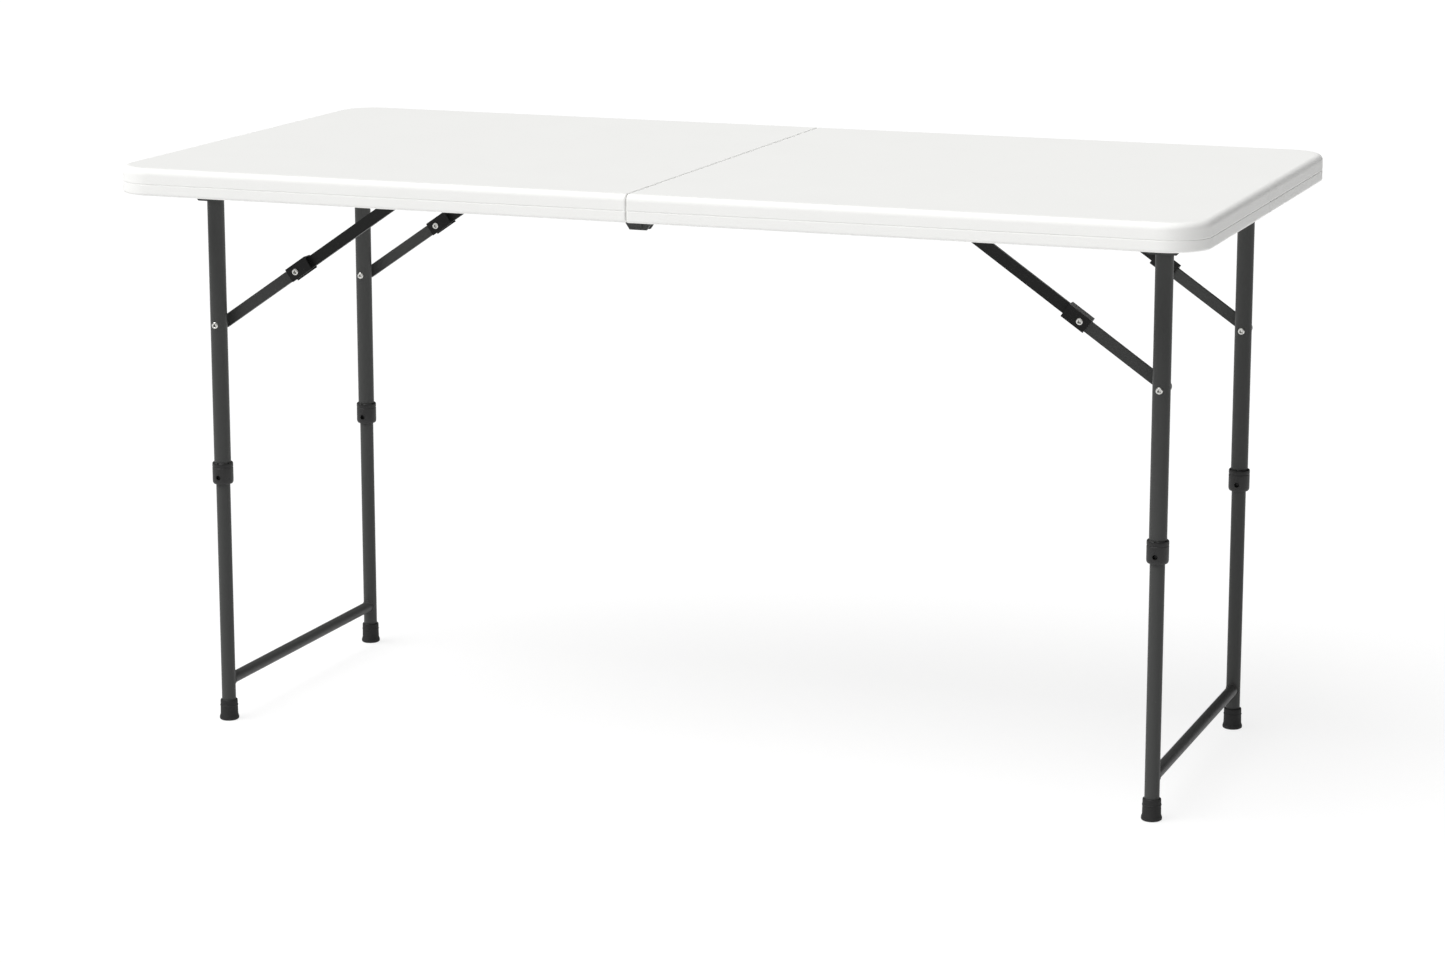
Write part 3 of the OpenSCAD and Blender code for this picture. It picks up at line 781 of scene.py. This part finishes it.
def column_point(top, sign, kind, place, inset, height):
    """A point of the half, from its column and its distance in from the skirt's face."""
    r = top.corner_radius
    if kind in ("rear", "front"):
        x, y = SEAM_X + place, HALF_W - inset
    elif kind == "end":
        x, y = HALF_L - inset, place
    else:
        x = HALF_L - r - (r - inset) * math.cos(place)
        y = (HALF_W - r) + (r - inset) * math.sin(place)
        if kind == "front corner":
            y = -(HALF_W - r) + (r - inset) * math.sin(place)
    if kind == "front":
        y = -y
    return Vector((sign * x, y, height))


def kept_clear(side):
    """Boxes under the deck, as (low x, high x, low y, high y), that fittings stand in."""
    boxes = []
    for node in ("leg_brackets", "brace_brackets", "rail_front", "rail_rear"):
        corners = [v.co for v in frame["nodes"][side + "_" + node].data.vertices]
        for row in (-1, 1):
            here = [c for c in corners if c.y * row > 0]
            if here:
                boxes.append((min(c.x for c in here), max(c.x for c in here),
                              min(c.y for c in here), max(c.y for c in here)))
    return boxes


def dimple_places(top, side):
    """Staggered rows of places under the deck that miss every fitting."""
    reach = top.dimple_radius + 3 * MM
    edge = top.skirt_wall + 4 * MM + reach
    boxes = kept_clear(side)
    places = []
    rows = int((HALF_W - edge) / top.dimple_pitch)
    for row in range(-rows, rows + 1):
        x = SEAM_X + reach + 4 * MM + (row % 2) * top.dimple_pitch / 2
        while x < HALF_L - edge:
            here = Vector((SIGN[side] * x, row * top.dimple_pitch))
            if all(
                not (low_x - reach < here.x < high_x + reach
                     and low_y - reach < here.y < high_y + reach)
                for low_x, high_x, low_y, high_y in boxes
            ):
                places.append(here)
            x += top.dimple_pitch
    return places


def top_shell(top, side):
    """One half of the top as a shell, with an opening under the deck for each dimple."""
    sign = SIGN[side]
    section = top_section(top)
    columns, ends = top_columns(top)
    bm = bmesh.new()
    cup = bm.verts.layers.bool.new("cup")
    grid = []
    for kind, place, cut in columns:
        column = []
        for inset, height, out, up in section:
            inset_here = inset + out * cut
            # A shallow groove runs up the middle of the outer end and over its edge.
            if kind == "end" and abs(place) < 0.5 * MM and out > 0.2 and inset < top.edge_radius:
                inset_here += END_GROOVE
            column.append(bm.verts.new(
                column_point(top, sign, kind, place, inset_here, height - up * cut)
            ))
        grid.append(column)
    for one, two in zip(grid, grid[1:]):
        for k in range(len(section) - 1):
            bm.faces.new((one[k], two[k], two[k + 1], one[k + 1]))
    # The seam's end face, then the strips that round it off above and below.
    bm.faces.new(grid[0] + list(reversed(grid[-1])))
    for j in range(ends):
        for k in (0, -1):
            bm.faces.new((grid[j][k], grid[j + 1][k], grid[-j - 2][k], grid[-j - 1][k]))
    bm.faces.new([column[0] for column in grid[ends:len(grid) - ends]])
    rim = [column[-1] for column in grid[ends:len(grid) - ends]]
    edges = [bm.edges.get((a, b)) for a, b in zip(rim, rim[1:])]
    edges.append(bm.edges.get((rim[0], rim[-1])) or bm.edges.new((rim[0], rim[-1])))
    places = dimple_places(top, side)
    for place in places:
        turns = [math.tau * step / DIMPLE_SIDES for step in range(DIMPLE_SIDES)]
        ring = [
            bm.verts.new((place.x + top.dimple_radius * math.cos(turn),
                          place.y + top.dimple_radius * math.sin(turn), DECK_Z))
            for turn in turns
        ]
        edges += [bm.edges.new(pair) for pair in zip(ring, ring[1:] + ring[:1])]
    bmesh.ops.triangle_fill(bm, edges=edges, use_beauty=True, normal=(0, 0, -1))
    bmesh.ops.recalc_face_normals(bm, faces=bm.faces)
    # The shell is open at its dimples, so it can come out inside out.
    upper = [face for face in bm.faces if face.calc_center_median().z > TOP_Z - MM / 10]
    if max(upper, key=lambda face: face.calc_area()).normal.z < 0:
        bmesh.ops.reverse_faces(bm, faces=bm.faces)
    for place in places:
        bm.verts.new((place.x, place.y, DECK_Z))[cup] = True
    return from_bmesh(side + "_top_shell", bm, 25)


class TABLE_OT_make_end_pins(bpy.types.Operator):
    """Sets the two small pins in the groove at each outer end"""

    bl_idname = "table.make_end_pins"
    bl_label = "End pins"

    def execute(self, context):
        top = settings()[0]
        for side in SIDES:
            bm = bmesh.new()
            for height in (TOP_Z - top.parting_drop, SKIRT_Z + 2.2 * MM):
                pin = bmesh.ops.create_uvsphere(bm, u_segments=16, v_segments=8, radius=1.2 * MM)
                bmesh.ops.translate(bm, verts=pin["verts"],
                                    vec=(SIGN[side] * (HALF_L - 1.25 * MM), 0, height))
            pins = from_bmesh(side + "_end_pins", bm, 60)
            dress(pins, MATERIALS["collar_plastic"], side + "_half", "collar_plastic")
        return {"FINISHED"}


class TABLE_OT_make_tops(bpy.types.Operator):
    """Makes the two moulded halves of the top"""

    bl_idname = "table.make_tops"
    bl_label = "Moulded top halves"

    def execute(self, context):
        top = settings()[0]
        tree = dimple_tree()
        for side in SIDES:
            shell = top_shell(top, side)
            grown(shell, tree, MATERIALS["white_plastic"], mouth_radius=top.dimple_radius,
                  depth=top.dimple_depth)
            if len(shell.data.polygons) < 2000:
                raise RuntimeError("the dimples are missing from " + shell.name)
            dress(shell, MATERIALS["white_plastic"], side + "_half", "white_plastic", side + "_top")
        return {"FINISHED"}


# ---- legs and fittings ----


class TABLE_OT_finish_frame(bpy.types.Operator):
    """Gives the tubes, rails, brackets and springs of the frame their finishes"""

    bl_idname = "table.finish_frame"
    bl_label = "Frame finishes"

    def execute(self, context):
        slots = {part["node"]: part["material_slot"] for part in frame["record"]["subparts"]}
        for node, slot in slots.items():
            for holder in frame["nodes"][node].material_slots:
                holder.material = MATERIALS[slot]
        return {"FINISHED"}


class TABLE_OT_make_collars(bpy.types.Operator):
    """Makes the moulded collars at the lower ends of the upper tubes"""

    bl_idname = "table.make_collars"
    bl_label = "Collars"

    def execute(self, context):
        steel = settings()[1]
        low, high, r = COLLAR_LOW.z, COLLAR_HIGH.z, COLLAR_R
        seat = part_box("left_upper_tube_front")[0].z
        bore, mouth = LEG_R + 0.4 * MM, UPPER_R + 0.05 * MM
        # The section: rounded lower end, groove, rounded upper end, then the mouth and the bore.
        profile = [
            (bore, low), (r - 2.2 * MM, low), (r - 1.1 * MM, low + 0.5 * MM),
            (r - 0.3 * MM, low + 1.8 * MM), (r, low + 3.6 * MM),
            (r, high - 6.4 * MM), (r - 0.35 * MM, high - 6.0 * MM),
            (r - 0.35 * MM, high - 5.4 * MM), (r, high - 5.0 * MM),
            (r, high - 2.2 * MM), (r - 0.25 * MM, high - 0.9 * MM),
            (r - 0.9 * MM, high - 0.15 * MM), (r - 1.3 * MM, high),
            (mouth, high), (mouth, seat), (bore, seat),
        ]
        for side in SIDES:
            for row in ROWS:
                leg = Vector((SIGN[side] * LEG_X, SIGN[row] * LEG_Y, 0))
                name = side + "_collar_" + row
                collar = lathe(name + "_moulded", profile, leg)
                cutter = bmesh.new()
                for step in range(steel.notches):
                    angle = math.tau * (step + 0.5) / steel.notches
                    notch = bmesh.ops.create_cube(cutter, size=1)["verts"]
                    bmesh.ops.scale(cutter, vec=(5 * MM, 3.4 * MM, 2 * MM), verts=notch)
                    bmesh.ops.translate(cutter, vec=(r, 0, high), verts=notch)
                    turn = Vector((math.cos(angle), math.sin(angle)))
                    for vert in notch:
                        x, y = vert.co.x, vert.co.y
                        vert.co.x = leg.x + x * turn.x - y * turn.y
                        vert.co.y = leg.y + x * turn.y + y * turn.x
                hole = bmesh.ops.create_cone(cutter, cap_ends=True, segments=32, radius1=WINDOW_R,
                                             radius2=WINDOW_R, depth=16 * MM)["verts"]
                for vert in hole:
                    x, y, z = vert.co
                    vert.co = Vector((leg.x + x, leg.y - r + z, BUTTON_Z - y))
                bmesh.ops.recalc_face_normals(cutter, faces=cutter.faces)
                tool = from_bmesh(name + "_cutter", cutter)
                boolean = collar.modifiers.new("notches", "BOOLEAN")
                boolean.operation = "DIFFERENCE"
                boolean.solver = "EXACT"
                boolean.object = tool
                baked(collar)
                bpy.data.objects.remove(tool)
                collar.data.shade_smooth()
                collar.data.set_sharp_from_angle(angle=math.radians(32))
                dress(collar, MATERIALS["collar_plastic"], side + "_leg_frame", "collar_plastic",
                      name)
        return {"FINISHED"}


class TABLE_OT_make_feet(bpy.types.Operator):
    """Makes the rubber feet"""

    bl_idname = "table.make_feet"
    bl_label = "Rubber feet"

    def execute(self, context):
        r = (FOOT_HIGH.x - FOOT_LOW.x) / 2
        high = FOOT_HIGH.z
        tube_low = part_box("left_lower_tube_front")[0].z
        # A domed tread, a flared toe, a tapered sleeve with two thin ribs and a rounded mouth.
        profile = [
            (0, 0), (r - 3.6 * MM, 0), (r - 1.4 * MM, 0.25 * MM), (r - 0.3 * MM, 1.1 * MM),
            (r, 2.4 * MM), (r - 0.25 * MM, 4.2 * MM), (r - 1.1 * MM, 6.6 * MM),
            (r - 1.3 * MM, high - 7.6 * MM), (r - 0.9 * MM, high - 7.2 * MM),
            (r - 0.9 * MM, high - 6.6 * MM), (r - 1.3 * MM, high - 6.2 * MM),
            (r - 1.35 * MM, high - 1.6 * MM), (r - 1.6 * MM, high - 0.5 * MM),
            (r - 2.2 * MM, high), (LEG_R + 0.02 * MM, high), (LEG_R + 0.02 * MM, tube_low),
            (0, tube_low),
        ]
        for side in SIDES:
            for row in ROWS:
                leg = Vector((SIGN[side] * LEG_X, SIGN[row] * LEG_Y, 0))
                name = side + "_foot_" + row
                foot = lathe(name + "_moulded", profile, leg)
                dress(foot, MATERIALS["foot_rubber"], side + "_lower_frame", "foot_rubber", name)
        return {"FINISHED"}


class TABLE_OT_make_braces(bpy.types.Operator):
    """Rounds the pressed edges of the brace arms and their sleeves"""

    bl_idname = "table.make_braces"
    bl_label = "Brace arms and sleeves"

    def execute(self, context):
        steel = settings()[1]
        kinds = (
            ("lower_arm", steel.arm_edge, "brace_lower", "frame_steel"),
            ("upper_arm", steel.arm_edge, "brace_upper", "arm_steel"),
            ("sleeve", steel.sleeve_edge, "brace_upper", "sleeve_steel"),
        )
        for side in SIDES:
            for row in ROWS:
                for kind, width, body, slot in kinds:
                    node = "_".join((side, kind, row))
                    piece = softened(node, width)
                    dress(piece, MATERIALS[slot], "_".join((side, body, row)), slot, node)
        return {"FINISHED"}


class TABLE_OT_make_rivets(bpy.types.Operator):
    """Sets the tubular rivets at the legs and at the brace joints"""

    bl_idname = "table.make_rivets"
    bl_label = "Rivets"

    def execute(self, context):
        tree = rivet_tree()
        for side in SIDES:
            for row in ROWS:
                node = "_".join((side, "joint_rivet", row))
                low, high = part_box(node)
                centre = middle(node)
                rivet = at_points(node + "_head", [(centre.x, low.y + RIVET_HEAD_H, centre.z)])
                grown(rivet, tree, MATERIALS["rivet_steel"], head_radius=(high.x - low.x) / 2,
                      bore_radius=RIVET_BORE_R, head_height=RIVET_HEAD_H, shank_radius=PIN_R,
                      length=high.y - low.y - RIVET_HEAD_H - RIVET_TAIL_H,
                      tail_radius=RIVET_TAIL_R)
                dress(rivet, MATERIALS["rivet_steel"], "_".join((side, "brace_upper", row)),
                      "rivet_steel", node)
            node = side + "_leg_rivets"
            low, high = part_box(node)
            centre = middle(node)
            # These heads bed 0.1 mm into the round tube, and their far ends have no button.
            heads = [(centre.x, SIGN[row] * LEG_Y - UPPER_R + 0.1 * MM, centre.z) for row in ROWS]
            rivets = at_points(node + "_heads", heads)
            grown(rivets, tree, MATERIALS["rivet_steel"], head_radius=(high.x - low.x) / 2,
                  bore_radius=RIVET_BORE_R, head_height=RIVET_HEAD_H, shank_radius=PIN_R,
                  length=high.y - LEG_Y + UPPER_R, tail_radius=0)
            dress(rivets, MATERIALS["rivet_steel"], side + "_leg_frame", "rivet_steel", node)
        return {"FINISHED"}


class TABLE_OT_make_screws(bpy.types.Operator):
    """Sets the screws that hold the brackets and rails under the deck"""

    bl_idname = "table.make_screws"
    bl_label = "Screws"

    def execute(self, context):
        tree = screw_tree()
        head_height = 2 * MM
        for side in SIDES:
            node = side + "_screws"
            places = [(sum(v.x for v in part) / len(part), sum(v.y for v in part) / len(part),
                       min(v.z for v in part) + head_height) for part in loose_parts(node)]
            screws = at_points(node + "_heads", places)
            grown(screws, tree, MATERIALS["screw_steel"], head_radius=4 * MM,
                  head_height=head_height, shank_radius=2 * MM, length=8 * MM,
                  slot_width=0.9 * MM)
            dress(screws, MATERIALS["screw_steel"], side + "_half", "screw_steel", node)
        return {"FINISHED"}


def loose_parts(node):
    """The corners of each separate solid in a frame node."""
    bm = bmesh.new()
    bm.from_mesh(frame["nodes"][node].data)
    bmesh.ops.remove_doubles(bm, verts=bm.verts, dist=0.01 * MM)
    seen, parts = set(), []
    for start in bm.verts:
        if start in seen:
            continue
        seen.add(start)
        part, queue = [], [start]
        while queue:
            vert = queue.pop()
            part.append(vert.co.copy())
            for edge in vert.link_edges:
                other = edge.other_vert(vert)
                if other not in seen:
                    seen.add(other)
                    queue.append(other)
        parts.append(part)
    bm.free()
    return parts


class TABLE_OT_make_pins(bpy.types.Operator):
    """Rounds the heads of the brace pins and of the centre hinge pins"""

    bl_idname = "table.make_pins"
    bl_label = "Pins"

    def execute(self, context):
        for node, body, slot in (("left_brace_pins", "left_half", "pin_steel"),
                                 ("right_brace_pins", "right_half", "pin_steel"),
                                 ("hinge_pins", "left_half", "frame_steel")):
            dress(softened(node, 0.35 * MM), MATERIALS[slot], body, slot, node)
        return {"FINISHED"}


class TABLE_OT_make_welds(bpy.types.Operator):
    """Lays the weld beads where each crossbar meets its legs"""

    bl_idname = "table.make_welds"
    bl_label = "Weld beads"

    def execute(self, context):
        steel = settings()[1]
        tree = weld_tree()
        steps = 48
        # The bead's middle line lies this far out from both tubes.
        lift = 0.25 * MM
        for side in SIDES:
            points, edges = [], []
            for row in ROWS:
                first = len(points)
                for step in range(steps):
                    angle = math.tau * step / steps
                    across = (BAR_R + lift) * math.cos(angle)
                    reach = math.sqrt((LEG_R + lift) ** 2 - across ** 2)
                    points.append((SIGN[side] * LEG_X + across, SIGN[row] * (LEG_Y - reach),
                                   BAR_Z + (BAR_R + lift) * math.sin(angle)))
                    edges.append((first + step, first + (step + 1) % steps))
            mesh = bpy.data.meshes.new(side + "_crossbar_welds")
            mesh.from_pydata(points, edges, [])
            welds = new_object(side + "_crossbar_welds", mesh)
            grown(welds, tree, MATERIALS["frame_steel"], bead_radius=steel.weld_radius,
                  ripple=0.9 * MM)
            dress(welds, MATERIALS["frame_steel"], side + "_lower_frame", "frame_steel")
        return {"FINISHED"}


# ---- stage ----


class TABLE_OT_set_stage(bpy.types.Operator):
    """Lays the floor, sets the lights and places the camera"""

    bl_idname = "table.set_stage"
    bl_label = "Stage"

    def execute(self, context):
        stage = settings()[2]
        scene = context.scene
        bm = bmesh.new()
        bmesh.ops.create_circle(bm, cap_ends=True, radius=FLOOR_RADIUS, segments=96)
        bmesh.ops.translate(bm, vec=(0, 0, -FLOOR_GAP), verts=bm.verts)
        floor = from_bmesh("studio_floor", bm)
        # Opal acrylic lit from below: white all over, with only faint shadows left on it.
        opal, tree, shader, place = new_material("Backlit_opal_acrylic", {
            "Roughness": 0.8, "Specular IOR Level": 0.1, "Emission Color": (1, 1, 1, 1),
            "Emission Strength": stage.glow,
        })
        haze = add(tree, "ShaderNodeTexNoise", {"Vector": place, "Scale": 120.0, "Detail": 3.0})
        tint = add(tree, "ShaderNodeMix", {"Factor": haze.outputs["Fac"], "A": linear("#808080"),
                                           "B": linear("#7E7E7E")}, data_type="RGBA")
        tree.links.new(tint.outputs["Result"], shader.inputs["Base Color"])
        floor.data.materials.append(opal)

        world = bpy.data.worlds.new("studio")
        world.use_nodes = True
        tree = world.node_tree
        tree.nodes.clear()
        # The backdrop looks white and lights the table only a little.
        seen = add(tree, "ShaderNodeBackground", {"Color": (1, 1, 1, 1), "Strength": 1.0})
        soft = add(tree, "ShaderNodeBackground", {"Color": (1, 1, 1, 1), "Strength": stage.sky})
        ray = add(tree, "ShaderNodeLightPath", {})
        both = add(tree, "ShaderNodeMixShader", {0: ray.outputs["Is Camera Ray"],
                                                 1: soft.outputs[0], 2: seen.outputs[0]})
        add(tree, "ShaderNodeOutputWorld", {"Surface": both.outputs[0]})
        scene.world = world

        lamp = bpy.data.lights.new("key_light", "SUN")
        lamp.energy = stage.key
        lamp.angle = math.radians(KEY_SOFTNESS)
        light = bpy.data.objects.new("key_light", lamp)
        low = math.cos(stage.key_height)
        towards = Vector((-math.sin(stage.key_side) * low, -math.cos(stage.key_side) * low,
                          math.sin(stage.key_height)))
        light.location = towards * KEY_DISTANCE
        light.rotation_euler = towards.to_track_quat("Z", "Y").to_euler()
        scene.collection.objects.link(light)

        lens = bpy.data.cameras.new("camera")
        lens.sensor_width = SENSOR_MM
        lens.lens = LENS_MM
        lens.shift_y = CAMERA_SHIFT
        lens.clip_end = 200
        camera = bpy.data.objects.new("camera", lens)
        camera.location = CAMERA_PLACE
        camera.rotation_euler = (math.radians(CAMERA_PITCH), 0, math.radians(CAMERA_TURN))
        scene.collection.objects.link(camera)
        scene.camera = camera
        scene.view_settings.view_transform = "Standard"
        return {"FINISHED"}


# ---- add-on ----


class TABLE_PT_panel(bpy.types.Panel):
    """Lists the table's sizes, colours and steps"""

    bl_idname = "TABLE_PT_panel"
    bl_label = "Folding Table"
    bl_space_type = "VIEW_3D"
    bl_region_type = "UI"
    bl_category = "Folding Table"

    def draw(self, context):
        for group in settings():
            box = self.layout.box()
            box.label(text=type(group).__doc__)
            for name in group.__annotations__:
                box.prop(group, name)
        for step in STEPS:
            self.layout.operator(step.bl_idname)


GROUPS = (
    ("table_top", TopSettings), ("table_frame", FrameSettings), ("table_stage", StageSettings),
)
STEPS = (
    TABLE_OT_finish_frame, TABLE_OT_make_tops, TABLE_OT_make_end_pins, TABLE_OT_make_collars,
    TABLE_OT_make_feet, TABLE_OT_make_braces, TABLE_OT_make_rivets, TABLE_OT_make_screws,
    TABLE_OT_make_pins, TABLE_OT_make_welds, TABLE_OT_set_stage,
)


def register():
    """Adds the settings, the operators and the panel."""
    for name, group in GROUPS:
        bpy.utils.register_class(group)
        setattr(bpy.types.Scene, name, PointerProperty(type=group))
    for step in STEPS + (TABLE_PT_panel,):
        bpy.utils.register_class(step)


def unregister():
    """Takes them away again."""
    for step in (TABLE_PT_panel,) + STEPS[::-1]:
        bpy.utils.unregister_class(step)
    for name, group in GROUPS[::-1]:
        delattr(bpy.types.Scene, name)
        bpy.utils.unregister_class(group)


def main():
    """Makes every piece and the stage."""
    register()
    make_materials()
    bpy.ops.table.finish_frame()
    bpy.ops.table.make_tops()
    bpy.ops.table.make_end_pins()
    bpy.ops.table.make_collars()
    bpy.ops.table.make_feet()
    bpy.ops.table.make_braces()
    bpy.ops.table.make_rivets()
    bpy.ops.table.make_screws()
    bpy.ops.table.make_pins()
    bpy.ops.table.make_welds()
    bpy.ops.table.set_stage()


if __name__ == "__main__":
    main()
